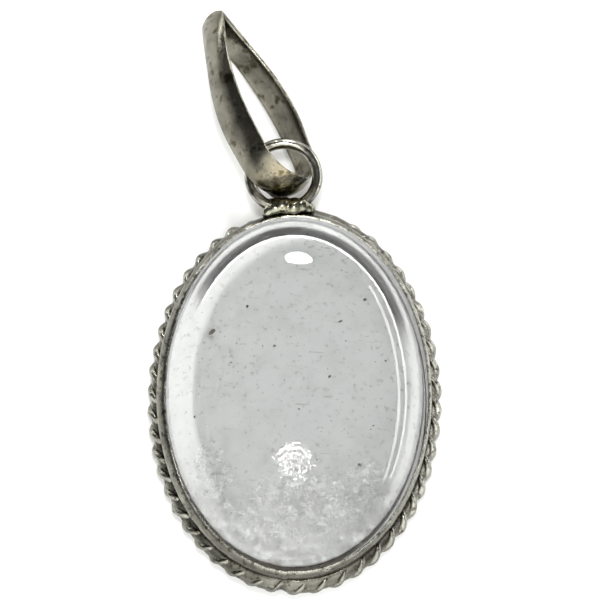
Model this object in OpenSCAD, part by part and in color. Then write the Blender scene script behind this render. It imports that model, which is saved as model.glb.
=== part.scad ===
// Oval quartz pendant lying on its back. +Z is up through the stone and +Y points to the ring.
// The origin is the middle of the back plate's underside.

/* [Stone] */
// Width of the cabochon
stone_w = 18; // [16:0.5:20]
// Length of the cabochon
stone_l = 25; // [23:0.5:27]
// Height of the cabochon from its flat back to the top of its dome
stone_h = 6; // [5:0.25:7]
// Height of the stone's plain side below the dome
stone_side_h = 2; // [1.5:0.25:2.5]
// How far the plain side leans in towards the dome
stone_lean = 0.15; // [0:0.05:0.3]
// Fullness of the dome, where 2 is an ellipsoid and more has a steeper shoulder
dome_power = 2.8; // [2:0.1:4]
// Gap between the stone and the metal
stone_gap = 0.05; // [0.02:0.01:0.1]

/* [Setting] */
// Thickness of the back plate
plate_t = 0.45; // [0.3:0.05:0.8]
// Height of the bezel's lip above the plate's underside
bezel_h = 3.4; // [3:0.1:4]
// Thickness of the bezel wall
bezel_t = 0.25; // [0.2:0.05:0.4]
// How far the bezel wall leans out from its foot to its lip
bezel_flare = 0.15; // [0:0.05:0.3]
// Diameter of each wire in the twisted edge
strand_d = 0.53; // [0.4:0.01:0.6]
// Full turns of the twisted edge round the setting
twist_turns = 25; // [20:1:30]
// Depth to which the twisted edge is sunk into the solder at the wall
twist_sink = 0.16; // [0.1:0.01:0.25]

/* [Top ring] */
// Inner diameter of the soldered ring
ring_inner_d = 3.9; // [3.8:0.05:4]
// Diameter of the ring's wire
ring_wire_d = 0.75; // [0.65:0.05:0.8]
// Distance of the ring's middle from the setting's long axis
ring_x = -0.75; // [-1:0.05:-0.5]
// Height of the ring's middle above the plate's underside
ring_z = 3; // [2.95:0.05:3.1]

/* [Bail] */
// Length of the bail's loop along the middle of its strip, from the bottom to the point
bail_l = 13.5; // [12.5:0.1:14]
// Width of the loop between the middle lines of its two limbs
loop_w = 5.4; // [5.2:0.1:5.4]
// Height above the bottom at which the limbs begin to close towards the point
belly_h = 3.6; // [3:0.1:4]
// Width of the strip that the bail is bent from
strip_w = 1.9; // [1.7:0.1:1.9]
// Thickness of the strip
strip_t = 0.5; // [0.45:0.05:0.55]
// Turn of the fallen bail away from the pendant's long axis
bail_heading = 23.5; // [22.5:0.5:24.5]
// Tilt of the loop's plane from the flat
bail_roll = 45; // [43:0.5:45.5]
// Slope of the bail down towards its point
bail_slope = 3; // [1.5:0.5:3]

/* [Hidden] */

silver = "#8f8b80";
dark_silver = "#77736a";
bright_silver = "#b5b2a2";
quartz = "#d3d6d5";

layer = 0.01;
oval_sides = 72;
stone_sides = 48;
ball_sides = 10;

// Sections of the dome, as shares of its width, closer where the shoulder is steep
dome_levels = [1, 0.985, 0.95, 0.9, 0.83, 0.74, 0.62, 0.48, 0.32, 0.15];

foot_w = stone_w + 2 * stone_gap;
foot_l = stone_l + 2 * stone_gap;
lip_grow = 2 * bezel_flare;

// The twisted edge lies on the plate's rim, in the corner under the flaring wall
twist_r = strand_d;
twist_seat = 0.06;
twist_w = foot_w + 2 * bezel_t + 2 * (twist_r - twist_sink);
twist_l = foot_l + 2 * bezel_t + 2 * (twist_r - twist_sink);
twist_z = plate_t + twist_r - twist_seat;
// The two wires are pressed together a little, so their middles are closer than a diameter
strand_press = 0.9;
lobe_offset = strand_press * strand_d / 2;
twist_sides = 8;
sections_per_turn = 8;
twist_sections = twist_turns * sections_per_turn;

// The ring lies flat against the wall at the upper end of the setting
ring_r = (ring_inner_d + ring_wire_d) / 2;
wall_y = foot_l / 2 + bezel_t + bezel_flare * ring_z / bezel_h;
ring_sink = 0.1;
ring_y = wall_y + ring_r + ring_wire_d / 2 - ring_sink;

// Lumps of solder between the ring and the wall: distance from the ring's middle along the wall,
// height above the ring's middle, and radius
solder_lumps = [
    [-1.35, -0.25, 0.34],
    [-0.85, 0.05, 0.42],
    [-0.3, -0.1, 0.46],
    [0.25, 0.1, 0.42],
    [0.8, -0.15, 0.4],
    [1.3, -0.3, 0.32]];
lump_depth = 0.25;
lump_taper = 0.8;
// Two runs of solder between the ring and the twisted edge
run_spread = 0.6;
run_foot_r = 0.45;
run_top_r = 0.35;

// The limbs rise straight from the round bottom, then close in two arcs that meet in the point
loop_r = loop_w / 2;
limb_len = bail_l - belly_h;
limb_r = (limb_len * limb_len + loop_r * loop_r) / (2 * loop_r);
bail_pos = [-0.25, 14.5, 3];

// Even steps of length round an oval, as a table from length to angle
function on_oval(w, l, t) = [w / 2 * cos(t), l / 2 * sin(t), 0];
arc_steps = 180;
arc_step = 360 / arc_steps;
function chord(i) = norm(on_oval(twist_w, twist_l, (i + 1) * arc_step)
    - on_oval(twist_w, twist_l, i * arc_step));
arc_table = [for (i = 0, s = 0; i <= arc_steps; s = s + chord(i), i = i + 1) [s, i * arc_step]];
arc_length = arc_table[arc_steps][0];

// Distance from the twist's axis to its skin: two round wires side by side
function lobe_skin(psi) = lobe_offset * abs(cos(psi))
    + sqrt(pow(strand_d / 2, 2) - pow(lobe_offset * sin(psi), 2));

function twist_point(j, k) =
    let (t = lookup(arc_length * j / twist_sections, arc_table),
        psi = 360 * k / twist_sides,
        turn = 360 * j / sections_per_turn + psi,
        out = [cos(t) / twist_w, sin(t) / twist_l, 0],
        rho = lobe_skin(psi))
    on_oval(twist_w, twist_l, t) + [0, 0, twist_z]
        + rho * cos(turn) * out / norm(out) + [0, 0, rho * sin(turn)];

module oval(w, l, h, sides = oval_sides) {
    linear_extrude(h) scale([1, l / w]) circle(d = w, $fn = sides);
}

// An oval block whose side leans out from its foot to its lip
module flared_oval(w, l, z0, z1) {
    hull() {
        translate([0, 0, z0]) oval(w, l, layer);
        translate([0, 0, z1 - layer]) oval(w + lip_grow, l + lip_grow, layer);
    }
}

module back_plate() {
    color(dark_silver) oval(twist_w, twist_l, plate_t);
}

module bezel_wall() {
    color(silver) difference() {
        flared_oval(foot_w + 2 * bezel_t, foot_l + 2 * bezel_t, 0, bezel_h);
        flared_oval(foot_w, foot_l, plate_t, bezel_h + layer);
    }
}

module twisted_edge() {
    n = twist_sections;
    m = twist_sides;
    color(dark_silver) polyhedron(
        points = [for (j = [0 : n - 1], k = [0 : m - 1]) twist_point(j, k)],
        faces = [for (j = [0 : n - 1], k = [0 : m - 1])
            let (a = j * m + k, b = j * m + (k + 1) % m,
                c = ((j + 1) % n) * m + k, d = ((j + 1) % n) * m + (k + 1) % m)
            each [[a, b, d], [a, d, c]]]);
}

module top_ring() {
    color(silver) translate([ring_x, ring_y, ring_z])
        rotate_extrude($fn = 36) translate([ring_r, 0]) circle(d = ring_wire_d, $fn = 12);
}

// Each lump fills the corner between the wall and the ring, and narrows away from the wall
module ring_solder() {
    color(bright_silver) for (lump = solder_lumps)
        hull() {
            translate([ring_x + lump[0], wall_y - ring_sink, ring_z + lump[1]])
                sphere(lump[2], $fn = ball_sides);
            translate([ring_x + lump_taper * lump[0], wall_y + lump_depth, ring_z])
                sphere(lump_taper * lump[2], $fn = ball_sides);
        }
}

// Solder that fills the join of the twisted edge under the ring
module edge_solder() {
    color(silver) for (x = [ring_x - run_spread, ring_x + run_spread])
        hull() {
            translate([x, wall_y, twist_z]) sphere(run_foot_r, $fn = ball_sides);
            translate([x, wall_y - ring_sink, ring_z - ring_wire_d / 2])
                sphere(run_top_r, $fn = ball_sides);
        }
}

// All the soldered silver is one solid
module setting() {
    back_plate();
    bezel_wall();
    twisted_edge();
    top_ring();
    ring_solder();
    edge_solder();
}

module stone() {
    dome_h = stone_h - stone_side_h;
    top_w = stone_w - 2 * stone_lean;
    top_l = stone_l - 2 * stone_lean;
    color(quartz) translate([0, 0, plate_t + stone_gap]) hull() {
        oval(stone_w, stone_l, layer, stone_sides);
        for (f = dome_levels)
            translate([0, 0, stone_side_h - layer + dome_h * sqrt(1 - pow(f, dome_power))])
                oval(top_w * f, top_l * f, layer, stone_sides);
    }
}

// Teardrop outline at a distance outside the middle line of the strip
module teardrop(grow) {
    half_w = loop_r + grow;
    translate([0, loop_r]) circle(r = half_w, $fn = 96);
    translate([-half_w, loop_r]) square([2 * half_w, belly_h - loop_r]);
    translate([0, belly_h]) intersection() {
        translate([limb_r - loop_r, 0]) circle(r = limb_r + grow, $fn = 360);
        translate([loop_r - limb_r, 0]) circle(r = limb_r + grow, $fn = 360);
        translate([-loop_w, 0]) square([2 * loop_w, bail_l]);
    }
}

module bail() {
    color(silver) translate(bail_pos) rotate([-bail_slope, 0, bail_heading])
        rotate([0, bail_roll, 0]) translate([0, 0, -strip_w / 2])
            linear_extrude(strip_w) difference() {
                teardrop(strip_t / 2);
                teardrop(-strip_t / 2);
            }
}

stone();
setting();
bail();
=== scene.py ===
import math
import random

import bpy
from mathutils import Matrix, Vector, noise


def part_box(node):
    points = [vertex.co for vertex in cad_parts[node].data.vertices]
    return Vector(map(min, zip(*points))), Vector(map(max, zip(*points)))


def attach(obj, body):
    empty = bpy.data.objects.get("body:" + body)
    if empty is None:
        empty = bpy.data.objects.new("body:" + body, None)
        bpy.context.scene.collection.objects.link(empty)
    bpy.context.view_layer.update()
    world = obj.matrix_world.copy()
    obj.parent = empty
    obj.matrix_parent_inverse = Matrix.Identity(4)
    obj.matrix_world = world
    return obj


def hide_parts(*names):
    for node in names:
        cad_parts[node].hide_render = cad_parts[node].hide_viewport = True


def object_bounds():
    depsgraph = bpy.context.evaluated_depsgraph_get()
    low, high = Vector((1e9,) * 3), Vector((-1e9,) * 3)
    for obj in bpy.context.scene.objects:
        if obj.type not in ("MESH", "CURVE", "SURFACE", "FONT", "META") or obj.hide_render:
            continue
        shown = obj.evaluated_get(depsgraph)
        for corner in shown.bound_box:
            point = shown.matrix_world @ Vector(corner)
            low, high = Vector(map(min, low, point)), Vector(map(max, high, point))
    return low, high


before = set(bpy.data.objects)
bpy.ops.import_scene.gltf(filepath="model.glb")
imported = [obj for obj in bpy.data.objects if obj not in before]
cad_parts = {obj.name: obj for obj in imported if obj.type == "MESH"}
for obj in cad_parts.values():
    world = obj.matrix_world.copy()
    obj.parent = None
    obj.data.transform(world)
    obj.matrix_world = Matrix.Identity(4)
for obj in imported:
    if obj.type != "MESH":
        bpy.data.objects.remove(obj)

mm = 0.001
cadLow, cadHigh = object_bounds()
stoneLow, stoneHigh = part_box("stone")
stoneA = (stoneHigh.x - stoneLow.x) / 2  # half the stone's width
stoneB = (stoneHigh.y - stoneLow.y) / 2  # half its length


# small helpers

def pick(*objects):
    if bpy.context.object and bpy.context.object.mode != "OBJECT":
        bpy.ops.object.mode_set(mode="OBJECT")
    bpy.ops.object.select_all(action="DESELECT")
    for obj in objects:
        obj.select_set(True)
    bpy.context.view_layer.objects.active = objects[0]
    return objects[0]


def join(pieces):
    obj = pick(*pieces)
    bpy.ops.object.join()
    return obj


def applyPlace(obj):
    pick(obj)
    bpy.ops.object.transform_apply(location=True, rotation=True, scale=True)
    return obj


def setAll(thing, settings):
    for name, value in settings.items():
        setattr(thing, name, value)


def addModifier(obj, name, kind, **settings):
    setAll(obj.modifiers.new(name, kind), settings)


def applyModifiers(obj):
    pick(obj)
    for modifier in list(obj.modifiers):
        bpy.ops.object.modifier_apply(modifier=modifier.name)


def startEdit(action=None):
    bpy.ops.object.mode_set(mode="EDIT")
    if action:
        bpy.ops.mesh.select_all(action=action)


def endEdit():
    bpy.ops.object.mode_set(mode="OBJECT")


def cleanUp(obj, merge=0.002 * mm):
    # close the seams and turn the faces outwards
    pick(obj)
    startEdit("SELECT")
    bpy.ops.mesh.remove_doubles(threshold=merge)
    bpy.ops.mesh.normals_make_consistent(inside=False)
    endEdit()


def roughen(obj, depth, size, swell=0.0, above=-1.0):
    # move the surface in and out in waves of this size, and out by the swell
    for vertex in obj.data.vertices:
        if vertex.co.z > above:
            vertex.co += vertex.normal * (swell + depth * noise.noise(vertex.co / size))


def smooth(obj, angle=35):
    pick(obj)
    bpy.ops.object.shade_smooth_by_angle(angle=math.radians(angle))


def finishPiece(obj, name, material):
    obj.name = name
    obj.data.name = name
    obj.data.materials.clear()
    obj.data.materials.append(material)
    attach(obj, "root")
    return obj


def ovalAngle(x, y):
    # place round the oval in degrees, 0 at the right and 90 at the ring
    return math.degrees(math.atan2(y / stoneB, x / stoneA)) % 360


def outward(x, y):
    return Vector((x / stoneA ** 2, y / stoneB ** 2, 0)).normalized()


def bump(angle, centre, width):
    # 1 at centre, falling smoothly to 0 at width degrees away
    away = abs((angle - centre + 180) % 360 - 180)
    return 0.5 + 0.5 * math.cos(math.pi * away / width) if away < width else 0.0


def ramp(value, start, end):
    # 0 at start and 1 at end, smoothly
    share = min(1.0, max(0.0, (value - start) / (end - start)))
    return share * share * (3 - 2 * share)


def around(table, angle):
    # a value at any place round the oval, from (angle, value) rows that are evenly spaced
    step = 360 / len(table)
    row = int(angle // step) % len(table)
    share = ramp(angle / step % 1, 0, 1)
    return table[row][1] * (1 - share) + table[(row + 1) % len(table)][1] * share


# colours and nodes

noiseLow, noiseHigh = 0.3, 0.7  # nearly all of a noise texture lies between these
smoothStep = {"interpolation_type": "SMOOTHSTEP"}  # for a range that eases in and out


def toLinear(hexColour):
    channels = [int(hexColour[i:i + 2], 16) / 255 for i in (1, 3, 5)]
    return tuple(c / 12.92 if c <= 0.04045 else ((c + 0.055) / 1.055) ** 2.4 for c in channels) + (1.0,)


def setInputs(tree, node, inputs):
    # each input is a value, a socket, or a node that gives its first output
    for name, value in inputs.items():
        if isinstance(value, bpy.types.Node):
            value = next(socket for socket in value.outputs if socket.enabled)
        if isinstance(value, bpy.types.NodeSocket):
            tree.links.new(value, node.inputs[name])
        else:
            node.inputs[name].default_value = value


def addNode(tree, kind, inputs=None, stops=None, **settings):
    # stops are a ramp's (place, colour) rows, where a number is a grey
    node = tree.nodes.new("ShaderNode" + kind)
    setAll(node, settings)
    setInputs(tree, node, inputs or {})
    if stops:
        elements = node.color_ramp.elements
        elements.remove(elements[-1])
        for i, (place, colour) in enumerate(stops):
            element = elements[0] if i == 0 else elements.new(place)
            element.position = place
            element.color = colour if isinstance(colour, tuple) else (colour, colour, colour, 1)
    return node


def newMaterial(name):
    material = bpy.data.materials.new(name)
    material.use_nodes = True
    tree = material.node_tree
    coords = addNode(tree, "TexCoord").outputs["Object"]
    return material, tree, tree.nodes["Principled BSDF"], coords


# tarnished sterling silver, polished once and worn since: grey metal, brown and olive where
# sulphide has grown in the hollows, brighter on the ridges where skin and cloth rub it
tarnishedSilver = {
    "clean": "#65645d",
    "dull": "#403f39",
    "rubbed": "#cfcfc3",
    "brown": "#2d241f",
    "olive": "#2f3021",
    "film": "#6d6239",  # thin golden tarnish round the ring
    "filmAt": (-0.4 * mm, 13.9 * mm, 3 * mm),
    "filmReach": 2.6 * mm,
    "filmCore": 0.6 * mm,
    "filmShare": 0.55,
    "shaded": 0.35,  # painted shade: faces that look towards the ring keep this share of their polish, so they are darker
    "shadedFacing": (0.15, 0.75),  # the less and the more that they look that way
    "lowerEnd": 0.5,  # and the metal at the lower end keeps this share, beyond the second place
    "lowerPlace": (-6 * mm, -12 * mm),
    "patch": 1.3 * mm,  # size of the tarnish patches
    "patchEdge": (0.36, 0.64),  # values of the pattern between which it fades, here and below
    "hollow": 0.6 * mm,  # how far the tarnish reaches out of a hollow
    "hollowEdge": (0.45, 0.97),
    "grain": 0.22 * mm,  # handling marks, drawn coarser than the real 0.05 mm so that they show
    "pit": 0.4 * mm,  # black specks of sulphide
    "pitEdge": (0.35, 0.47),
    "pitShade": 0.12,
    "rubbedShare": 0.75,
    "ridgeEdge": (0.5, 0.58),
    "roughLow": 0.18,
    "roughHigh": 0.4,
    "bumpDepth": 0.016 * mm,
}
# the bail is smoother: drawn strip, polished along its length, with a golden brown film
bailSilver = dict(
    tarnishedSilver, clean="#848175", dull="#5d5b51", rubbed="#a8a79a", brown="#3a2f1c", olive="#34341f",
    patch=2.2 * mm, grain=0.3 * mm, pit=0.9 * mm, rubbedShare=0.3, roughLow=0.14, roughHigh=0.28,
    bumpDepth=0.006 * mm, film="#87733a", filmReach=4.6 * mm, filmShare=1.0, shaded=0.8, lowerEnd=1.0)
# hard silver solder, frozen as it flowed: smoother, brighter and a little yellower than the wire
solderSilver = dict(
    tarnishedSilver, clean="#96978a", dull="#6b6c5e", rubbed="#c2c4b4", olive="#3d3c22", patch=0.9 * mm,
    hollow=0.22 * mm, rubbedShare=0.3, roughLow=0.16, roughHigh=0.34, bumpDepth=0.004 * mm,
    filmShare=0.5, shaded=0.75)
# the bezel's lip was burnished over the stone, so it is smoother than the twist
# the bezel keeps less of its polish where it faces the ring, so its painted shade there is deeper
bezelSilver = dict(
    tarnishedSilver, clean="#7d7c73", dull="#56554e", hollow=0.4 * mm, roughHigh=0.34, shaded=0.2)
# the ring is drawn wire, rubbed smooth by the bail
ringSilver = dict(
    tarnishedSilver, clean="#98978d", dull="#6e6d65", rubbed="#c6c6ba", grain=0.3 * mm, pit=0.9 * mm,
    rubbedShare=0.3, roughLow=0.12, roughHigh=0.26, bumpDepth=0.004 * mm, filmShare=0.7)


def makeSilver(name, look):
    material, tree, shader, coords = newMaterial(name)
    place = addNode(tree, "SeparateXYZ", {"Vector": coords})
    geometry = addNode(tree, "NewGeometry")
    facing = addNode(tree, "SeparateXYZ", {"Vector": geometry.outputs["Normal"]})
    patches, tint, grain, pits = [
        addNode(tree, "TexNoise", {
            "Vector": coords, "Scale": 1 / size, "Detail": detail, "Roughness": roughness})
        for size, detail, roughness in (
            (look["patch"], 5, 0.6),
            (look["patch"] / 0.6, 3, 0.5),
            (look["grain"], 4, 0.65),
            (look["pit"], 3, 0.7))]
    # tarnish stays in the hollows and pits, which nothing rubs
    hollow = addNode(tree, "AmbientOcclusion", {"Distance": look["hollow"]}, samples=6)
    patchy, ridge, bare, unpitted = [
        addNode(tree, "ValToRGB", {"Fac": pattern}, stops=[(start, low), (end, high)])
        for pattern, (start, end), low, high in (
            (patches, look["patchEdge"], 0.0, 1.0),
            (geometry.outputs["Pointiness"], look["ridgeEdge"], 0.0, look["rubbedShare"]),
            (hollow.outputs["AO"], look["hollowEdge"], 0.0, 1.0),
            (pits, look["pitEdge"], look["pitShade"], 1.0))]
    # painted shade on the sides that face the ring, and darker towards the lower end
    wiped, handled = [
        addNode(tree, "MapRange", {
            "Value": value, "From Min": start, "From Max": end, "To Min": 1.0, "To Max": look[share]},
            **smoothStep)
        for value, (start, end), share in (
            (facing.outputs["Y"], look["shadedFacing"], "shaded"),
            (place.outputs["Y"], look["lowerPlace"], "lowerEnd"))]
    # this polish share also carries the painted shade on the sides that face the ring
    polish = bare
    for share in (unpitted, handled, wiped):
        polish = addNode(tree, "Math", {0: polish, 1: share}, operation="MULTIPLY")
    # a golden film where the ring, its solder and the bail touch
    away = addNode(tree, "VectorMath", {0: coords, 1: look["filmAt"]}, operation="DISTANCE")
    near = addNode(tree, "MapRange", {
        "Value": away, "From Min": look["filmReach"], "From Max": look["filmCore"],
        "To Max": look["filmShare"]}, **smoothStep)
    filmed = addNode(tree, "Math", {0: near, 1: patchy}, operation="MULTIPLY")
    metal = toLinear(look["dull"])
    for share, layer in ((patchy, "clean"), (ridge, "rubbed"), (filmed, "film")):
        metal = addNode(tree, "Mix", {
            "Factor": share, "A": metal, "B": toLinear(look[layer])}, data_type="RGBA")
    tarnish = addNode(tree, "Mix", {
        "Factor": tint, "A": toLinear(look["brown"]), "B": toLinear(look["olive"])}, data_type="RGBA")
    colour = addNode(tree, "Mix", {"Factor": polish, "A": tarnish, "B": metal}, data_type="RGBA")
    rough = addNode(tree, "MapRange", {
        "Value": grain, "From Min": noiseLow, "From Max": noiseHigh,
        "To Min": look["roughLow"], "To Max": look["roughHigh"]})
    relief = addNode(tree, "Bump", {"Height": grain, "Distance": look["bumpDepth"], "Strength": 0.5})
    setInputs(tree, shader, {
        "Base Color": colour, "Roughness": rough, "Normal": relief, "Metallic": 1.0})
    return material


# fine silver under and round the stone, where no skin reaches: pickled to a frosted white that
# scatters like paint, so it isn't metallic. It is greyer in the middle, with a painted light rim of
# white towards its edge and a painted shade line at the ring's end
fineSilver = {
    "body": "#cfcfcf",
    "cloud": "#bcbdbd",
    "white": "#ffffff",
    # painted shade: the dark line near the wall at the ring's end
    "tarnish": "#1d191c",
    "smudge": "#77766f",
    "centreY": 0.37 * mm,  # the oval that is 1 where the dome's edge shows the plate last
    "halfX": 6.8 * mm,
    "halfY": 10.57 * mm,
    "whiteFrom": 0.85,  # share of that oval at which the painted light rim begins
    "whiteFade": 0.06,
    "whiteShift": 0.09,  # narrower by this at the right, from the first place to the second
    "whiteShiftPlace": (-4 * mm, 4 * mm),
    "whiteEnd": (-5 * mm, -8.5 * mm),  # it breaks up and ends between these, towards the lower end
    "ragged": 0.35,
    "darkStops": [(0.953, 0.0), (0.957, 1.0), (0.99, 1.0), (0.994, 0.0)],  # across the dark line
    "darkEnd": (4 * mm, 7 * mm),  # it begins between these, towards the ring's end
    "darkSlant": 0.2,  # and nearer the middle at the right
    "patch": 4 * mm,
    "fleck": 0.4 * mm,
    "fleckStops": [(0.3, 0.6), (0.45, 0.0)],
    "streak": 0.25 * mm,  # polishing scratches, drawn wider than they are
    "streakTurn": -70,
    "streakStretch": 0.14,
    "streakStops": [(0.28, 0.35), (0.36, 0.0)],
    "rough": 0.6,
}


def makeFineSilver(look):
    material, tree, shader, coords = newMaterial("fineSilver")
    spot = addNode(tree, "SeparateXYZ", {"Vector": coords})
    oval = addNode(tree, "Mapping", {
        "Vector": coords, "Location": (0, -look["centreY"] / look["halfY"], 0),
        "Scale": (1 / look["halfX"], 1 / look["halfY"], 0)})
    level = addNode(tree, "VectorMath", {0: oval}, operation="LENGTH")
    along = addNode(tree, "Mapping", {
        "Vector": coords, "Rotation": (0, 0, math.radians(look["streakTurn"])),
        "Scale": (1, look["streakStretch"], 1)})
    clouds, flecks, streaks = [
        addNode(tree, "TexNoise", {
            "Vector": vector, "Scale": 1 / look[size], "Detail": detail, "Roughness": roughness})
        for vector, size, detail, roughness in (
            (coords, "patch", 6, 0.65), (coords, "fleck", 4, 0.7), (along, "streak", 2, 0.5))]
    smudged = addNode(tree, "ValToRGB", {"Fac": flecks}, stops=look["fleckStops"])
    scratched = addNode(tree, "ValToRGB", {"Fac": streaks}, stops=look["streakStops"])
    marked = addNode(tree, "Math", {0: smudged, 1: scratched}, operation="MAXIMUM")
    # the painted light rim is wide at the left and narrow at the right
    whiteFrom = addNode(tree, "MapRange", {
        "Value": spot.outputs["X"], "From Min": look["whiteShiftPlace"][0],
        "From Max": look["whiteShiftPlace"][1], "To Min": look["whiteFrom"],
        "To Max": look["whiteFrom"] + look["whiteShift"]}, **smoothStep)
    ending = addNode(tree, "MapRange", {
        "Value": spot.outputs["Y"], "From Min": look["whiteEnd"][0],
        "From Max": look["whiteEnd"][1]}, **smoothStep)
    ragged = addNode(tree, "MapRange", {
        "Value": flecks, "From Min": noiseLow, "From Max": noiseHigh,
        "To Min": -look["ragged"] / 2, "To Max": look["ragged"]})
    broken = addNode(tree, "Math", {0: ending, 1: ragged, 2: whiteFrom}, operation="MULTIPLY_ADD")
    above = addNode(tree, "Math", {0: level, 1: broken}, operation="SUBTRACT")
    white = addNode(tree, "MapRange", {"Value": above, "From Max": look["whiteFade"]}, **smoothStep)
    # painted shade: a dark line near the wall, at the ring's end only
    line = addNode(tree, "ValToRGB", {"Fac": level}, stops=look["darkStops"])
    slant = addNode(tree, "Math", {
        0: spot.outputs["X"], 1: look["darkSlant"], 2: spot.outputs["Y"]}, operation="MULTIPLY_ADD")
    ringEnd = addNode(tree, "MapRange", {
        "Value": slant, "From Min": look["darkEnd"][0], "From Max": look["darkEnd"][1]},
        **smoothStep)
    dark = addNode(tree, "Math", {0: line, 1: ringEnd}, operation="MULTIPLY")
    colour = toLinear(look["body"])
    for share, layer in ((clouds, "cloud"), (marked, "smudge"), (white, "white"), (dark, "tarnish")):
        colour = addNode(tree, "Mix", {
            "Factor": share, "A": colour, "B": toLinear(look[layer])}, data_type="RGBA")
    setInputs(tree, shader, {"Base Color": colour, "Roughness": look["rough"]})
    return material


print("materials")
silverLook = makeSilver("tarnishedSilver", tarnishedSilver)
bailLook = makeSilver("bailSilver", bailSilver)
solderLook = makeSilver("solderSilver", solderSilver)
ringLook = makeSilver("ringSilver", ringSilver)
bezelLook = makeSilver("bezelSilver", bezelSilver)
fineSilverLook = makeFineSilver(fineSilver)


# back plate: sawn sheet silver, the twisted edge lies on its rim

plate = {"thickness": 0.45 * mm, "rim": 0.5 * mm, "sides": 192, "edge": 0.1 * mm}


def buildPlate():
    bpy.ops.mesh.primitive_cylinder_add(
        vertices=plate["sides"], radius=1, depth=plate["thickness"],
        location=(0, 0, plate["thickness"] / 2))
    obj = bpy.context.object
    obj.scale = (stoneA + plate["rim"], stoneB + plate["rim"], 1)
    applyPlace(obj)
    addModifier(obj, "edge", "BEVEL", width=plate["edge"], segments=3, limit_method="ANGLE")
    applyModifiers(obj)
    startEdit("DESELECT")
    endEdit()
    for face in obj.data.polygons:
        face.select = face.normal.z > 0.99 and face.area > mm * mm
    startEdit()
    bpy.ops.mesh.inset(thickness=plate["rim"])
    endEdit()
    smooth(obj)
    finishPiece(obj, "backPlate", silverLook)
    obj.data.materials.append(fineSilverLook)
    for face in obj.data.polygons:
        face.material_index = 1 if face.select else 0


print("back plate")
buildPlate()


# bezel: a flared band of sheet silver round the stone, soldered to the plate

bezel = {
    "sides": 288,
    "gap": 0.05 * mm,  # stone to wall at the foot
    "wall": 0.25 * mm,
    "height": 3.4 * mm,
    "outer": [  # its outer side up to the lip: how far in, and how far down, in mm
        (0, 3.1), (0, 2.2), (0, 1.4), (0, 0.55), (0, 0.45), (0.01, 0.34), (0.02, 0.23), (0.04, 0.12),
        (0.07, 0.04), (0.12, 0)],
    "inner": [  # and its inner side from the lip: how far out, and how far down
        (0.07, 0), (0.02, 0.03), (0, 0.1), (0, 0.25), (0, 0.4), (0, 0.55), (0, 3.1)],
    "flare": 0.1 * mm,
    "leanFrom": 2.85 * mm,  # above this the lip is pushed in over the stone
    "lean": [  # place round the oval in degrees, how far in, in mm
        (0, 0.04), (45, 0.18), (90, 0.34), (135, 0.34), (180, 0.4), (225, 0.32), (270, 0.2), (315, 0.1)],
    "leanPower": 1.3,
    "bulge": 0.04 * mm,  # how far the foot stands out at the left
    "bulgeAt": (190, 80),
    "seamX": -0.41 * mm,  # the band's join, at the lower end
    "seamStep": 0.07 * mm,
    "seamLength": 2.4 * mm,
    "seamFoot": 0.3,  # share of the step at the foot
    "wave": 0.035 * mm,
    "waveOut": 2.3 * mm,  # length of its waves outwards
    "waveUp": 3.1 * mm,  # and upwards
}


def buildBezel():
    inside, height = bezel["gap"], bezel["height"]
    outside = inside + bezel["wall"]
    rings = [(outside - step * mm, height - down * mm) for step, down in bezel["outer"]]
    rings += [(inside + step * mm, height - down * mm) for step, down in bezel["inner"]]
    lastGrow, lastZ = rings[0]
    bpy.ops.mesh.primitive_circle_add(vertices=bezel["sides"], radius=1, location=(0, 0, lastZ))
    obj = bpy.context.object
    obj.scale = (stoneA + lastGrow, stoneB + lastGrow, 1)
    applyPlace(obj)
    startEdit("SELECT")
    for grow, z in rings[1:]:
        bpy.ops.mesh.extrude_region_move(TRANSFORM_OT_translate={"value": (0, 0, z - lastZ)})
        ratio = ((stoneA + grow) / (stoneA + lastGrow), (stoneB + grow) / (stoneB + lastGrow), 1)
        bpy.ops.transform.resize(value=ratio, center_override=(0, 0, z))
        lastGrow, lastZ = grow, z
    bpy.ops.mesh.select_all(action="DESELECT")
    bpy.ops.mesh.select_non_manifold()
    bpy.ops.mesh.bridge_edge_loops()
    endEdit()
    cleanUp(obj)
    # hand work: the lip is rubbed in over the stone, waves a little, and steps at the seam
    for vertex in obj.data.vertices:
        x, y, z = vertex.co
        angle = ovalAngle(x, y)
        up = max(0.0, z / height)
        over = max(0.0, (z - bezel["leanFrom"]) / (height - bezel["leanFrom"]))
        bulge = bezel["bulge"] * bump(angle, *bezel["bulgeAt"])
        move = bezel["flare"] * up + bulge
        move -= (around(bezel["lean"], angle) * mm + bulge) * over ** bezel["leanPower"]
        move += bezel["wave"] * up * noise.noise(Vector((x, y, 0)) / bezel["waveOut"])
        beside = (bezel["seamX"] - x) / bezel["seamLength"]
        if y < 0 and 0 < beside < 1:
            rise = bezel["seamFoot"] + (1 - bezel["seamFoot"]) * up
            move += bezel["seamStep"] * (1 - beside) ** 2 * rise
        vertex.co += outward(x, y) * move
        vertex.co.z += bezel["wave"] * up * noise.noise(Vector((x, y, 5 * mm)) / bezel["waveUp"])
    smooth(obj, 50)
    finishPiece(obj, "bezel", bezelLook)
    # its inner side below the lip takes the plate's look, which paints it white as part of the painted
    # light rim
    obj.data.materials.append(fineSilverLook)
    for face in obj.data.polygons:
        x, y, z = face.center
        inwards = outward(x, y).dot(face.normal) < -0.5
        face.material_index = 1 if inwards and z < bezel["leanFrom"] else 0
    return obj


print("bezel")
bezelWall = buildBezel()


# twisted edge: two round wires twisted together, bent round the foot of the bezel

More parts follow.
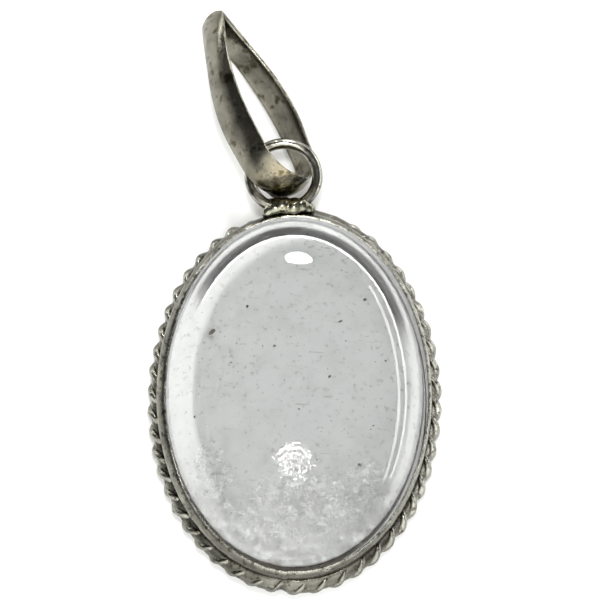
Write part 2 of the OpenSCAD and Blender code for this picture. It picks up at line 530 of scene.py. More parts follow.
twist = {
    "wire": 0.66 * mm,
    "press": 0.94,  # the wires' middles are this share of a diameter apart
    "turns": 25,
    "growX": 0.46 * mm,  # the twist's middle outside the stone, at the sides
    "growY": 0.6 * mm,  # and at the ends
    "height": 0.9 * mm,
    "flat": 0.12 * mm,  # filed flat inside this line, where it is soldered to the bezel
    "sides": 14,
    "steps": 20,
    "wobble": 0.06 * mm,
    "wobbleOut": 1.9 * mm,  # length of its wobbles outwards
    "wobbleUp": 1.7 * mm,  # and upwards
    "tuckAt": (105, 15),  # beside the ring the twist is hammered in against the wall
    "tuck": 0.3 * mm,
    "notchX": -0.93 * mm,  # its two ends meet here, at the lower end
    "notchWidth": 0.3 * mm,
    "notch": 0.22 * mm,
    "lift": 0.7 * mm,  # how far it rises up the wall towards the lower end
    "liftAt": (270, 100),
}


def workTwist(obj):
    # hand work that the twist and its solder share
    for vertex in obj.data.vertices:
        spot = vertex.co.copy()
        angle = ovalAngle(spot.x, spot.y)
        move = twist["wobble"] * noise.noise(spot / twist["wobbleOut"])
        move -= twist["tuck"] * bump(angle, *twist["tuckAt"])
        if spot.y < 0:
            move -= twist["notch"] * math.exp(-((spot.x - twist["notchX"]) / twist["notchWidth"]) ** 2)
        vertex.co += outward(spot.x, spot.y) * move
        vertex.co.z += twist["wobble"] * noise.noise((spot + Vector((9 * mm, 0, 0))) / twist["wobbleUp"])
        vertex.co.z += twist["lift"] * bump(angle, *twist["liftAt"])
        x, y, z = vertex.co
        inner = math.hypot(x / (stoneA + twist["flat"]), y / (stoneB + twist["flat"]))
        if inner < 1:
            vertex.co = (x / inner, y / inner, z)


def buildTwist():
    radius = twist["wire"] / 2
    bpy.ops.curve.primitive_bezier_circle_add(radius=1)
    path = bpy.context.object
    path.scale = (stoneA + twist["growX"], stoneB + twist["growY"], 1)
    applyPlace(path)
    path.data.resolution_u = 96
    path.data.twist_mode = "Z_UP"
    path.data.use_radius = False
    pitch = path.data.splines[0].calc_length() / twist["turns"]
    wires = []
    for side in (-1, 1):
        bpy.ops.mesh.primitive_circle_add(
            vertices=twist["sides"], radius=radius, location=(0, side * radius * twist["press"], 0),
            rotation=(0, math.radians(90), 0))
        wires.append(bpy.context.object)
    obj = applyPlace(join(wires))
    addModifier(
        obj, "turn", "SCREW", axis="X", angle=math.radians(-360), screw_offset=pitch,
        steps=twist["steps"], render_steps=twist["steps"], use_merge_vertices=False)
    addModifier(
        obj, "repeat", "ARRAY", count=twist["turns"], use_relative_offset=False,
        use_constant_offset=True, constant_offset_displace=(pitch, 0, 0),
        use_merge_vertices=True, merge_threshold=0.004 * mm)
    addModifier(obj, "bend", "CURVE", object=path)
    applyModifiers(obj)
    obj.location = (0, 0, twist["height"])
    applyPlace(obj)
    bpy.data.objects.remove(path)
    cleanUp(obj, 0.01 * mm)
    workTwist(obj)
    smooth(obj, 70)
    finishPiece(obj, "twistedEdge", silverLook)


# solder that ran along the twist: it lies in the grooves, rises to the wall, and covers the
# wires beside the ring
fillet = {
    "bend": 10 * mm,  # radius of the round ring that it starts as
    "radius": 0.35 * mm,
    "rise": 0.8,  # how much thicker it is towards the wall
    "riseAt": (130, 75),
    "flood": [  # and at some places round the oval: angle, how far it spreads, how much
        (82, 40, 0.62), (50, 45, 0.25), (262, 75, 0.5)],
    "uneven": 0.16,
    "unevenSize": 1.1 * mm,
    "sides": 18,
    "segments": 360,
}


def buildFillet():
    bpy.ops.mesh.primitive_torus_add(
        major_segments=fillet["segments"], minor_segments=fillet["sides"],
        major_radius=fillet["bend"], minor_radius=fillet["radius"])
    obj = bpy.context.object
    for vertex in obj.data.vertices:
        x, y, z = vertex.co
        turn = math.atan2(y, x)
        middle = Vector(((stoneA + twist["growX"]) * math.cos(turn),
                         (stoneB + twist["growY"]) * math.sin(turn), twist["height"]))
        across = math.hypot(x, y) - fillet["bend"]
        section = math.degrees(math.atan2(z, across))
        thick = 1 + fillet["rise"] * bump(section, *fillet["riseAt"])
        for place, spread, much in fillet["flood"]:
            thick += much * bump(math.degrees(turn), place, spread)
        thick += fillet["uneven"] * noise.noise((middle + Vector((0, 0, z))) / fillet["unevenSize"])
        vertex.co = middle + outward(middle.x, middle.y) * across * thick + Vector((0, 0, z * thick))
    workTwist(obj)
    smooth(obj, 180)
    finishPiece(obj, "twistSolder", silverLook)


print("twisted edge")
buildTwist()
buildFillet()


# top ring: round wire, butt soldered flat against the upper end of the bezel

ring = {"x": -0.75 * mm, "z": 3.0 * mm, "inner": 3.9 * mm, "wire": 0.75 * mm, "sink": 0.1 * mm,
        "wobble": 0.02 * mm, "wobbleSize": 1.1 * mm}
ring["wallY"] = stoneB + bezel["gap"] + bezel["wall"] + bezel["flare"] * 0.5
ring["y"] = ring["wallY"] + ring["inner"] / 2 + ring["wire"] - ring["sink"]


def buildRing():
    bpy.ops.mesh.primitive_torus_add(
        major_segments=96, minor_segments=24, major_radius=(ring["inner"] + ring["wire"]) / 2,
        minor_radius=ring["wire"] / 2, location=(ring["x"], ring["y"], ring["z"]))
    obj = applyPlace(bpy.context.object)
    roughen(obj, ring["wobble"], ring["wobbleSize"])
    smooth(obj, 80)
    finishPiece(obj, "topRing", ringLook)


print("top ring")
buildRing()


# solder between ring, wall and twisted edge, frozen in soft lumps

solder = {
    "lumps": [  # distance from the ring's middle along the wall, height above it, radius, in mm
        (-1.35, -0.25, 0.34), (-0.85, 0.05, 0.42), (-0.3, -0.1, 0.46),
        (0.25, 0.1, 0.42), (0.8, -0.15, 0.4), (1.3, -0.3, 0.32)],
    "taper": [  # each is two balls: distance from the wall in mm, share of its size, and of its height
        (0.1, 0.9, 1), (0.35, 0.8, 0)],
    "cover": [  # as the lumps, for what has run up over the wire, with the distance from the wall
        (-1.05, 0.0, 0.45, 0.0), (-0.6, 0.12, 0.5, 0.2), (-0.95, -0.1, 0.42, 0.55),
        (-0.45, 0.0, 0.46, 0.57), (-0.1, 0.2, 0.52, 0.35), (0.1, 0.0, 0.46, 0.58),
        (0.7, -0.05, 0.46, 0.58), (0.7, 0.15, 0.55, 0.25), (1.25, 0.0, 0.55, 0.4),
        (1.75, -0.1, 0.42, 0.25)],
    "runs": (-0.6, 0.6),
    "runBalls": [  # distance from the wall, height above the plate's underside, radius, in mm
        (0.15, 0.95, 0.45), (0.15, 1.8, 0.36), (0.12, 2.6, 0.35)],
    "voxel": 0.06 * mm,
    "soften": 40,
    "swell": 0.07 * mm,  # softening shrinks it, this brings it back
    "uneven": 0.04 * mm,
    "unevenSize": 0.8 * mm,
}


def buildSolder():
    spots = []  # distance along the wall and from it, height and radius
    for along, up, radius in solder["lumps"]:
        for depth, share, lift in solder["taper"]:
            height = ring["z"] + up * lift * mm
            spots.append((along * share * mm, depth * mm, height, radius * share * mm))
    for along, up, radius, depth in solder["cover"]:
        spots.append((along * mm, depth * mm, ring["z"] + up * mm, radius * mm))
    for side in solder["runs"]:
        for depth, height, radius in solder["runBalls"]:
            spots.append((side * mm, depth * mm, height * mm, radius * mm))
    balls = []
    for along, depth, height, radius in spots:
        bpy.ops.mesh.primitive_ico_sphere_add(
            subdivisions=3, radius=radius, location=(ring["x"] + along, ring["wallY"] + depth, height))
        balls.append(bpy.context.object)
    obj = applyPlace(join(balls))
    addModifier(obj, "melt", "REMESH", mode="VOXEL", voxel_size=solder["voxel"])
    addModifier(obj, "soften", "SMOOTH", iterations=solder["soften"], factor=0.6)
    applyModifiers(obj)
    roughen(obj, solder["uneven"], solder["unevenSize"], solder["swell"])
    smooth(obj, 180)
    finishPiece(obj, "ringSolder", solderLook)


print("solder")
buildSolder()


# stone: clear quartz cabochon, cut by hand and polished

stoneCut = {
    "side": 2.0 * mm,
    "lean": 0.15 * mm,
    "power": 2.8,  # fullness of the dome, where 2 is an ellipsoid
    "segments": 160,
    "rings": 96,
    "girdle": 0.08 * mm,  # rounding of its edges
    "wobble": 0.012 * mm,
    "wobbleSize": 4 * mm,
    "flatBelow": 0.3 * mm,  # its base stays true
}


def buildStone():
    low, high = stoneLow.z, stoneHigh.z
    side, lean = stoneCut["side"], stoneCut["lean"]
    bpy.ops.mesh.primitive_uv_sphere_add(
        segments=stoneCut["segments"], ring_count=stoneCut["rings"], radius=1)
    obj = bpy.context.object
    startEdit("SELECT")
    bpy.ops.mesh.bisect(plane_co=(0, 0, 0), plane_no=(0, 0, 1), use_fill=False, clear_inner=True)
    bpy.ops.mesh.select_all(action="DESELECT")
    bpy.ops.mesh.select_non_manifold()
    bpy.ops.mesh.extrude_region_move(TRANSFORM_OT_translate={"value": (0, 0, -1)})
    bpy.ops.mesh.subdivide(number_cuts=1)
    bpy.ops.mesh.select_all(action="DESELECT")
    endEdit()
    # close the base
    for edge in obj.data.edges:
        edge.select = max(obj.data.vertices[i].co.z for i in edge.vertices) < -0.99
    startEdit()
    bpy.ops.mesh.edge_face_add()
    bpy.ops.mesh.inset(thickness=0.02)
    endEdit()
    topA, topB = stoneA - lean, stoneB - lean
    for vertex in obj.data.vertices:
        x, y, z = vertex.co
        if z > -1e-6:
            # dome: a superellipse in height over the oval
            rise = (1 - min(1.0, math.hypot(x, y)) ** stoneCut["power"]) ** 0.5
            vertex.co = (x * topA, y * topB, low + side + rise * (high - low - side))
        else:
            vertex.co = (x * (topA - lean * z), y * (topB - lean * z), low + side * (1 + z))
    addModifier(
        obj, "girdle", "BEVEL", width=stoneCut["girdle"], segments=3, limit_method="ANGLE",
        angle_limit=math.radians(50))
    applyModifiers(obj)
    cleanUp(obj, 0.001 * mm)
    roughen(obj, stoneCut["wobble"], stoneCut["wobbleSize"], above=low + stoneCut["flatBelow"])
    smooth(obj, 60)
    return obj


# natural rock crystal, cut and polished: clear as glass but a little brighter in its reflections.
# The crown is worn dull where it rubs, and the flat base and most of the hidden side are ground
# and left unpolished
quartzLook = {
    "tint": "#fbfcfb",
    "ior": 1.544,
    "rough": 0.02,
    "groundHeight": 1.6 * mm,  # how far up the side it is left ground
    "groundRough": 0.45,
    "grit": 0.15 * mm,
    "gritDepth": 0.004 * mm,
    "wornAt": (-0.1 * mm, -5.8 * mm, 6.0 * mm),
    "wornCore": 0.2 * mm,
    "wornReach": 2.3 * mm,
    "wornGrain": 0.3 * mm,
    "wornDepth": 0.065 * mm,
    "polish": 0.5 * mm,  # waves that polishing by hand left
    "polishDepth": 0.0015 * mm,
    "grime": "#c6c6c2",  # a trace of dirt in pits and scratches
    "pit": 0.38 * mm,  # pits and scratches are drawn wider than they are
    "pitStops": [(0.31, 1.0), (0.4, 0.0)],
    "scratch": 0.19 * mm,
    "scratchTurn": 9,
    "scratchStretch": 0.13,
    "scratchStops": [(0.24, 0.9), (0.31, 0.0)],
    "cloud": 1.5 * mm,
    "cloudStops": [(0.3, 0.35), (0.55, 0.0)],
    "mottle": 1.1 * mm,
    "mottleStops": [(0.4, 0.9), (0.6, 0.0)],
    "mottlePlace": (-4.5 * mm, -8.5 * mm),  # it grows from the first place to the second
    "gapShade": "#211c17",  # painted shade in the gap against the lip, all round but for the ring's end
    "gapShadeFrom": 0.966,  # as shares of the stone's outline
    "gapShadeTo": 0.976,
    "gapShadeUneven": 0.02,
    "gapShadeEnd": (6.5 * mm, 9.5 * mm),
}


def makeQuartz(look):
    material, tree, shader, coords = newMaterial("polishedQuartz")
    spot = addNode(tree, "SeparateXYZ", {"Vector": coords})
    across = addNode(tree, "Mapping", {
        "Vector": coords, "Rotation": (0, 0, math.radians(look["scratchTurn"])),
        "Scale": (look["scratchStretch"], 1, 1)})
    grain, waves, pits, lines, clouds, spots = [
        addNode(tree, "TexNoise", {
            "Vector": vector, "Scale": 1 / look[size], "Detail": detail, "Roughness": roughness})
        for vector, size, detail, roughness in (
            (coords, "wornGrain", 1.5, 0.5), (coords, "polish", 5, 0.75), (coords, "pit", 3, 0.6),
            (across, "scratch", 1, 0.5), (coords, "cloud", 5, 0.6), (coords, "mottle", 6, 0.7))]
    pitted, scratched, clouded, spotted = [
        addNode(tree, "ValToRGB", {"Fac": pattern}, stops=look[stops])
        for pattern, stops in (
            (pits, "pitStops"), (lines, "scratchStops"), (clouds, "cloudStops"), (spots, "mottleStops"))]
    # the worn crown breaks up what it reflects
    away = addNode(tree, "VectorMath", {0: coords, 1: look["wornAt"]}, operation="DISTANCE")
    worn = addNode(tree, "MapRange", {
        "Value": away, "From Min": look["wornCore"], "From Max": look["wornReach"],
        "To Min": 1.0, "To Max": 0.0}, **smoothStep)
    height = addNode(tree, "Math", {0: worn, 1: grain}, operation="MULTIPLY")
    wornRelief = addNode(tree, "Bump", {"Height": height, "Distance": look["wornDepth"]})
    relief = addNode(tree, "Bump", {
        "Height": waves, "Distance": look["polishDepth"], "Normal": wornRelief})
    lowerEnd = addNode(tree, "MapRange", {
        "Value": spot.outputs["Y"], "From Min": look["mottlePlace"][0],
        "From Max": look["mottlePlace"][1]}, **smoothStep)
    mottled = addNode(tree, "Math", {0: spotted, 1: lowerEnd, 2: clouded}, operation="MULTIPLY_ADD")
    marks = addNode(tree, "Math", {0: pitted, 1: scratched}, operation="MAXIMUM")
    grime = addNode(tree, "Math", {0: marks, 1: mottled}, operation="ADD", use_clamp=True)
    oval = addNode(tree, "Mapping", {"Vector": coords, "Scale": (1 / stoneA, 1 / stoneB, 0)})
    level = addNode(tree, "VectorMath", {0: oval}, operation="LENGTH")
    # painted shade: a dark line on the stone where it meets the lip
    uneven = addNode(tree, "Math", {0: spots, 1: look["gapShadeUneven"], 2: level}, operation="MULTIPLY_ADD")
    rim = addNode(tree, "MapRange", {
        "Value": uneven, "From Min": look["gapShadeFrom"] + look["gapShadeUneven"] / 2,
        "From Max": look["gapShadeTo"] + look["gapShadeUneven"] / 2}, **smoothStep)
    offRing = addNode(tree, "MapRange", {
        "Value": spot.outputs["Y"], "From Min": look["gapShadeEnd"][0], "From Max": look["gapShadeEnd"][1],
        "To Min": 1.0, "To Max": 0.0})
    packed = addNode(tree, "Math", {0: rim, 1: offRing}, operation="MULTIPLY")
    colour = toLinear(look["tint"])
    for share, layer in ((grime, "grime"), (packed, "gapShade")):
        colour = addNode(tree, "Mix", {
            "Factor": share, "A": colour, "B": toLinear(look[layer])}, data_type="RGBA")
    setInputs(tree, shader, {
        "Base Color": colour, "Normal": relief, "IOR": look["ior"], "Roughness": look["rough"],
        "Transmission Weight": 1.0})
    return material


def makeGroundQuartz(look):
    material, tree, shader, coords = newMaterial("groundQuartz")
    grit = addNode(tree, "TexNoise", {"Vector": coords, "Scale": 1 / look["grit"], "Detail": 3})
    relief = addNode(tree, "Bump", {"Height": grit, "Distance": look["gritDepth"]})
    setInputs(tree, shader, {
        "Base Color": toLinear(look["tint"]), "Normal": relief, "IOR": look["ior"],
        "Roughness": look["groundRough"], "Transmission Weight": 1.0})
    return material


print("stone")
stonePiece = finishPiece(buildStone(), "quartzStone", makeQuartz(quartzLook))
stonePiece.data.materials.append(makeGroundQuartz(quartzLook))
for face in stonePiece.data.polygons:
    face.material_index = 1 if face.center.z < stoneLow.z + quartzLook["groundHeight"] else 0
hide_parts("stone")


# what grew in the crystal: dark specks, and milky veils towards the lower end

specks = {
    "places": [  # x, y, height and size in mm
        (-5.0, 4.2, 1.1, 0.27), (4.3, 6.3, 1.4, 0.13), (2.9, 4.9, 1.2, 0.14), (3.95, -4.6, 1.0, 0.14),
        (-2.95, 5.9, 1.3, 0.1), (2.3, 1.1, 1.5, 0.12), (-4.0, 2.1, 1.2, 0.08), (5.6, 2.2, 1.6, 0.07),
        (0.3, -1.1, 1.3, 0.09), (-6.0, -1.4, 1.2, 0.09), (4.9, -2.2, 1.8, 0.08), (-1.3, 3.3, 1.0, 0.09)],
    "small": 46,  # how many small ones are scattered, then their sizes and heights in mm
    "smallSize": (0.02, 0.05),
    "smallHeight": (0.8, 3.0),
    "field": (7, 10),  # half the width and length of the oval that they lie in
    "fieldTop": 9,
    "narrow": (0.4, 0.8),  # a speck's width and thickness, as shares of its length
    "flat": 0.35,
    "rough": 0.03 * mm,
    "roughSize": 0.09 * mm,
    "seed": 11,
}


def buildSpecks():
    chance = random.Random(specks["seed"])
    halfX, halfY = specks["field"]
    spots = list(specks["places"])
    while len(spots) < len(specks["places"]) + specks["small"]:
        x, y = chance.uniform(-halfX, halfX), chance.uniform(-halfY, specks["fieldTop"])
        if math.hypot(x / halfX, y / halfY) < 1:
            height = chance.uniform(*specks["smallHeight"])
            spots.append((x, y, height, chance.uniform(*specks["smallSize"])))
    grains = []
    for x, y, z, size in spots:
        bpy.ops.mesh.primitive_ico_sphere_add(
            subdivisions=2, location=(x * mm, y * mm, z * mm), rotation=(0, 0, chance.uniform(0, 3.1)))
        grain = bpy.context.object
        size *= mm
        grain.scale = (size, size * chance.uniform(*specks["narrow"]), size * specks["flat"])
        grains.append(applyPlace(grain))
    obj = join(grains)
    roughen(obj, specks["rough"], specks["roughSize"])
    smooth(obj, 180)
    return obj


# goethite and dust in the quartz: nearly black to brown, dull
speckLook = {"dark": "#2a2724", "brown": "#8b8478", "patch": 0.8 * mm, "brownFrom": 0.35,
             "brownTo": 0.6, "rough": 0.8}


def makeSpeckLook(look):
    material, tree, shader, coords = newMaterial("ironSpecks")
    patches = addNode(tree, "TexNoise", {"Vector": coords, "Scale": 1 / look["patch"], "Detail": 3})
    spread = addNode(tree, "MapRange", {
        "Value": patches, "From Min": look["brownFrom"], "From Max": look["brownTo"]})
    colour = addNode(tree, "Mix", {
        "Factor": spread, "A": toLinear(look["dark"]), "B": toLinear(look["brown"])}, data_type="RGBA")
    setInputs(tree, shader, {"Base Color": colour, "Roughness": look["rough"]})
    return material


veils = {
    "sheets": [  # x, y, height, width, length in mm, turn and tilt in degrees
        (0.2, -7.4, 1.5, 13.0, 8.0, 4, 5), (-5.0, -5.2, 1.9, 4.2, 8.0, 14, -8),
        (4.4, -6.2, 2.4, 5.0, 7.0, -14, 10), (2.0, -6.9, 1.9, 6.8, 1.4, -3, 74)],
    "cuts": 40,
    "ripple": 0.3 * mm,
    "ripples": 1.6,  # waves across half a sheet
}


def buildVeils():
    sheets = []
    for i, (x, y, z, wide, long, turn, tilt) in enumerate(veils["sheets"]):
        bpy.ops.mesh.primitive_grid_add(x_subdivisions=veils["cuts"], y_subdivisions=veils["cuts"], size=1)
        sheet = bpy.context.object
        for vertex in sheet.data.vertices:
            # round the corners off, then ripple the sheet, each in its own way
            a, b = vertex.co.x * 2, vertex.co.y * 2
            vertex.co.x = a * math.sqrt(1 - b * b / 2) / 2 * wide * mm
            vertex.co.y = b * math.sqrt(1 - a * a / 2) / 2 * long * mm
            vertex.co.z = veils["ripple"] * noise.noise(Vector((a, b, i * 3.7)) * veils["ripples"])
        sheet.rotation_euler = (math.radians(tilt), 0, math.radians(turn))
        sheet.location = (x * mm, y * mm, z * mm)
        sheets.append(applyPlace(sheet))
    obj = join(sheets)
    smooth(obj, 180)
    return obj


# a veil is a healed crack full of tiny bubbles: white and grey, in broken wisps that thin out
# towards its rim
veilLook = {
    "white": "#ffffff",
    "grey": "#b4b6b4",
    "wisp": 0.8 * mm,
    "wispStops": [(0.47, 0.0), (0.66, 0.75)],
    "bubble": 0.2 * mm,
    "bubbleStops": [(noiseLow, 0.3), (noiseHigh, 1.0)],
    "shade": 0.5 * mm,
    "shadeFrom": 0.4,
    "shadeTo": 0.55,
    "rimFrom": 0.15,  # distance from a sheet's middle, as a share of its size
    "rimTo": 0.5,
    "thickened": 0.06,  # what is added to the wisps in the middle
    "thinned": -0.3,  # and at the rim
    "rough": 0.7,
}


def makeVeilLook(look):
    material, tree, shader, coords = newMaterial("milkyVeil")
    wisps, bubbles, shades = [
        addNode(tree, "TexNoise", {
            "Vector": coords, "Scale": 1 / look[size], "Detail": detail, "Roughness": roughness})
        for size, detail, roughness in (("wisp", 6, 0.7), ("bubble", 2, 0.5), ("shade", 4, 0.5))]
    away = addNode(
        tree, "VectorMath", {0: coords.node.outputs["UV"], 1: (0.5, 0.5, 0)}, operation="DISTANCE")
    inner = addNode(tree, "MapRange", {
        "Value": away, "From Min": look["rimFrom"], "From Max": look["rimTo"],
        "To Min": look["thickened"], "To Max": look["thinned"]}, **smoothStep)
    dense = addNode(tree, "Math", {0: wisps, 1: inner}, operation="ADD")
    broken = addNode(tree, "ValToRGB", {"Fac": dense}, stops=look["wispStops"])
    grainy = addNode(tree, "ValToRGB", {"Fac": bubbles}, stops=look["bubbleStops"])
    alpha = addNode(tree, "Math", {0: broken, 1: grainy}, operation="MULTIPLY")
    shaded = addNode(tree, "ValToRGB", {"Fac": shades}, stops=[
        (look["shadeFrom"], toLinear(look["grey"])), (look["shadeTo"], toLinear(look["white"]))])
    setInputs(tree, shader, {"Base Color": shaded, "Alpha": alpha, "Roughness": look["rough"]})
    return material


print("specks and veils")
finishPiece(buildSpecks(), "ironSpecks", makeSpeckLook(speckLook))
finishPiece(buildVeils(), "milkyVeils", makeVeilLook(veilLook))


# bail: a strip of half-round silver bent to a teardrop, hung on the ring

bail = {
    "length": 13.5 * mm,
    "loop": 5.4 * mm,
    "belly": 3.6 * mm,
    "width": 1.94 * mm,
    "thick": 0.52 * mm,
    "sides": 40,
    "corner": 0.45,  # below 1 the section's corners are fuller than an ellipse's
    "crown": (1.2, 1.05),  # height of its outer face in the middle, and how far that falls to the edges
    "wobble": 0.02 * mm,
    "wobbleSize": 1.6 * mm,
    # a pair of places is where a change begins and where it is whole: across the loop for left and
    # bottomLeft, and along it for the others
    "left": (1.6 * mm, -0.8 * mm),
    "bottom": (1.2 * mm, 0),
    "bottomLeft": (-1.5 * mm, -0.5 * mm),
    "tip": (10 * mm, 13.5 * mm),
    "middle": (1.5 * mm, 6 * mm),
    "middleEnd": (13 * mm, 6.5 * mm),
    "spread": 0.75 * mm,  # how much wider the left limb and the bottom are at their upper edge
    "spreadTo": (11 * mm, 1 * mm),
    "spreadTip": 0.2,  # share of it that is left at the tip
    "swell": 0.33 * mm,  # and both limbs in their middle
    "tipFill": 0.16 * mm,  # how far its tip's edges reach up, so that it ends in a straight cut
    "tipSpread": 0.2 * mm,  # and how far its lower edge stands out there
    "lowSpread": 0.3 * mm,  # and at the bottom of the loop
    "heading": 23.5,
    "roll": 45,
    "slope": 3,
    "place": (-0.25 * mm, 14.5 * mm, 3.0 * mm),
}


def buildBail():
    loopR = bail["loop"] / 2
    rise = bail["length"] - bail["belly"]
    limbR = (rise ** 2 + loopR ** 2) / (2 * loopR)
    sweep = math.acos((limbR - loopR) / (limbR + bail["thick"]))
    # the strip's section, at the bottom of the loop
    bpy.ops.mesh.primitive_circle_add(vertices=bail["sides"], radius=1, rotation=(0, math.radians(90), 0))
    obj = applyPlace(bpy.context.object)
    for vertex in obj.data.vertices:
        # flat inside, crowned outside, with soft edges
        y, z = vertex.co.yz
        wide = math.copysign(abs(z) ** bail["corner"], z)
        deep = math.copysign(abs(y) ** bail["corner"], y)
        if y < 0:
            deep *= bail["crown"][0] - bail["crown"][1] * wide ** 2
        vertex.co = (0, deep * bail["thick"] / 2, wide * bail["width"] / 2)
    startEdit("SELECT")
    bpy.ops.mesh.spin(steps=28, angle=-math.radians(90), center=(0, loopR, 0), axis=(0, 0, 1))
    bpy.ops.mesh.extrude_region_move(TRANSFORM_OT_translate={"value": (0, bail["belly"] - loopR, 0)})
    bpy.ops.mesh.spin(steps=44, angle=-sweep, center=(loopR - limbR, bail["belly"], 0), axis=(0, 0, 1))
    bpy.ops.mesh.select_all(action="SELECT")
    bpy.ops.mesh.bisect(
        plane_co=(0, 0, 0), plane_no=(1, 0, 0), use_fill=False, clear_inner=True, threshold=0.001 * mm)
    endEdit()
    addModifier(obj, "otherLimb", "MIRROR", use_axis=(True, False, False), merge_threshold=0.005 * mm)
    applyModifiers(obj)
    cleanUp(obj)
    for vertex in obj.data.vertices:
        vertex.co += vertex.normal * bail["wobble"] * noise.noise(vertex.co / bail["wobbleSize"])
        x, y, z = vertex.co
        edge = z / (bail["width"] / 2)
        left, tip = ramp(x, *bail["left"]), ramp(y, *bail["tip"])
        middle = ramp(y, *bail["middle"]) * ramp(y, *bail["middleEnd"])
        if edge > 0:
            share = bail["spreadTip"] + (1 - bail["spreadTip"]) * ramp(y, *bail["spreadTo"])
            z += edge * (bail["spread"] * left * share + bail["swell"] * (1 - left) * middle)
        else:
            bottom = ramp(y, *bail["bottom"]) * ramp(x, *bail["bottomLeft"])
            z += edge * (bail["swell"] * left * middle + bail["tipSpread"] * tip
                         + bail["lowSpread"] * bottom)
        vertex.co = (x, y + edge * edge * bail["tipFill"] * tip, z)
    turn = (Matrix.Rotation(math.radians(bail["heading"]), 4, "Z")
            @ Matrix.Rotation(math.radians(-bail["slope"]), 4, "X")
            @ Matrix.Rotation(math.radians(bail["roll"]), 4, "Y"))
    obj.matrix_world = Matrix.Translation(bail["place"]) @ turn
    applyPlace(obj)
    smooth(obj, 40)
    return obj


print("bail")
bailPiece = finishPiece(buildBail(), "bailLoop", bailLook)
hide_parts("bail")
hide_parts("setting")


# floor, light and camera

floor = {"size": 600 * mm, "below": 0.01 * mm, "card": "#f2f2f0", "rough": 0.9}
photo = {
    "scale": 14.55,  # pixels to the millimetre
    "size": 600,  # pixels across
    "centre": (294.5, 404.0),  # pixel of the part's origin
    "elevation": 75.0,
    "distance": 400 * mm,
    "sensor": 36,
}


def buildFloor():
    bpy.ops.mesh.primitive_grid_add(
        x_subdivisions=4, y_subdivisions=4, size=floor["size"],
        location=(0, 0, cadLow.z - floor["below"]))
    obj = bpy.context.object
    obj.name = "paperFloor"
    # matt white card: fibres too fine to show
    material, tree, shader = newMaterial("whiteCard")[:3]
    setInputs(tree, shader, {"Base Color": toLinear(floor["card"]), "Roughness": floor["rough"]})
    obj.data.materials.append(material)


studio = {
    "distance": 400 * mm,
    "middle": (0, 0, 5 * mm),
    "horizon": 1.5,  # brightness of the room level with the floor, where the floor is about 1
    "overhead": 0.18,
    "darkFrom": 0.05,  # it darkens between these heights, given by their sines
    "darkTo": 0.3,
    "nearSide": 1.5,  # how bright its walls are on the camera's side
    "farSide": 0.5,  # and past the ring
    "sides": (-0.7, 0.3),
    "roomColour": "#f4f4f4",
    "softboxes": [  # name, shape, bearing, height in degrees, width, height, brightness
        ("overheadLamp", "ELLIPSE", 90, 89, 8, 8, 60),
        ("ringSideLamp", "ELLIPSE", 88, 38, 12, 9, 38),
        ("rightSoftbox", "RECTANGLE", 16, 24, 60, 4, 8),
        ("rightStrip", "RECTANGLE", 16, 11, 60, 4, 10),
        ("backStrip", "RECTANGLE", 90, 12.8, 100, 4, 16),
    ],
    "frontGlow": (0, -0.75, 0.66),  # a big soft light behind the camera
    "frontGlowFrom": 0.55,  # cosines of the angles at which it begins and is whole
    "frontGlowTo": 0.97,
    "frontGlowBrightness": 3.4,
}


def addSoftbox(name, shape, bearing, height, wide, tall, brightness):
    # bearing 0 is at the right and 90 past the ring, a height of 90 is straight overhead
    turn, rise = math.radians(bearing), math.radians(height)
    away = Vector((math.cos(rise) * math.cos(turn), math.cos(rise) * math.sin(turn), math.sin(rise)))
    place = Vector(studio["middle"]) + away * studio["distance"]
    bpy.ops.object.light_add(type="AREA", location=place)
    lamp = bpy.context.object
    lamp.name = name
    lamp.data.shape = shape
    lamp.data.size = 2 * studio["distance"] * math.tan(math.radians(wide) / 2)
    lamp.data.size_y = 2 * studio["distance"] * math.tan(math.radians(tall) / 2)
    lamp.data.energy = brightness * math.pi * lamp.data.size * lamp.data.size_y
    lamp.visible_camera = False
    lamp.rotation_euler = (-away).to_track_quat("-Z", "Y").to_euler()


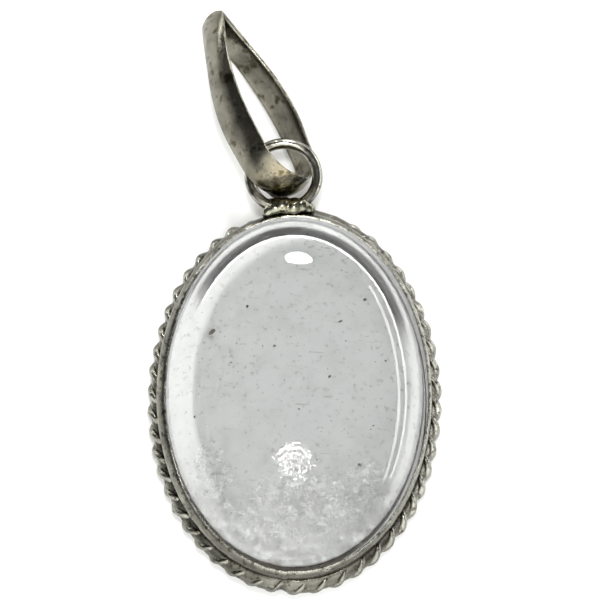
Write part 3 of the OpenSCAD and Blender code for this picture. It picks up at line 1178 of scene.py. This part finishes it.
def buildLight():
    for softbox in studio["softboxes"]:
        addSoftbox(*softbox)
    world = bpy.data.worlds.new("studio")
    bpy.context.scene.world = world
    world.use_nodes = True
    tree = world.node_tree
    direction = addNode(tree, "TexCoord").outputs["Generated"]
    height = addNode(tree, "SeparateXYZ", {"Vector": direction})
    room = addNode(tree, "MapRange", {
        "Value": height.outputs["Z"], "From Min": studio["darkFrom"], "From Max": studio["darkTo"],
        "To Min": studio["horizon"], "To Max": studio["overhead"]}, **smoothStep)
    walls = addNode(tree, "MapRange", {
        "Value": height.outputs["Y"], "From Min": studio["sides"][0], "From Max": studio["sides"][1],
        "To Min": studio["nearSide"], "To Max": studio["farSide"]})
    shaded = addNode(tree, "Math", {0: room, 1: walls}, operation="MULTIPLY")
    near = addNode(tree, "VectorMath", {
        0: direction, 1: Vector(studio["frontGlow"]).normalized()}, operation="DOT_PRODUCT")
    front = addNode(tree, "MapRange", {
        "Value": near, "From Min": studio["frontGlowFrom"], "From Max": studio["frontGlowTo"],
        "To Max": studio["frontGlowBrightness"]}, **smoothStep)
    both = addNode(tree, "Math", {0: shaded, 1: front}, operation="ADD")
    setInputs(tree, tree.nodes["Background"], {
        "Color": toLinear(studio["roomColour"]), "Strength": both})


def buildCamera():
    tilt = math.radians(photo["elevation"])
    back = Vector((0, -math.cos(tilt), math.sin(tilt)))
    up = Vector((0, math.sin(tilt), math.cos(tilt)))
    half = photo["size"] / 2
    aim = Vector(((half - photo["centre"][0]) / photo["scale"] * mm, 0, 0))
    aim += up * (photo["centre"][1] - half) / photo["scale"] * mm
    bpy.ops.object.camera_add(location=aim + back * photo["distance"])
    camera = bpy.context.object
    camera.name = "camera"
    camera.rotation_euler = back.to_track_quat("Z", "Y").to_euler()
    pixels = photo["scale"] / mm * photo["distance"]
    lens = photo["sensor"] * pixels / photo["size"]
    setAll(camera.data, {
        "sensor_width": photo["sensor"], "lens": lens, "clip_start": 10 * mm, "clip_end": 10})
    bpy.context.scene.camera = camera


print("floor, light and camera")
buildFloor()
buildLight()
buildCamera()
bpy.context.scene.view_settings.view_transform = "Standard"

print("done")
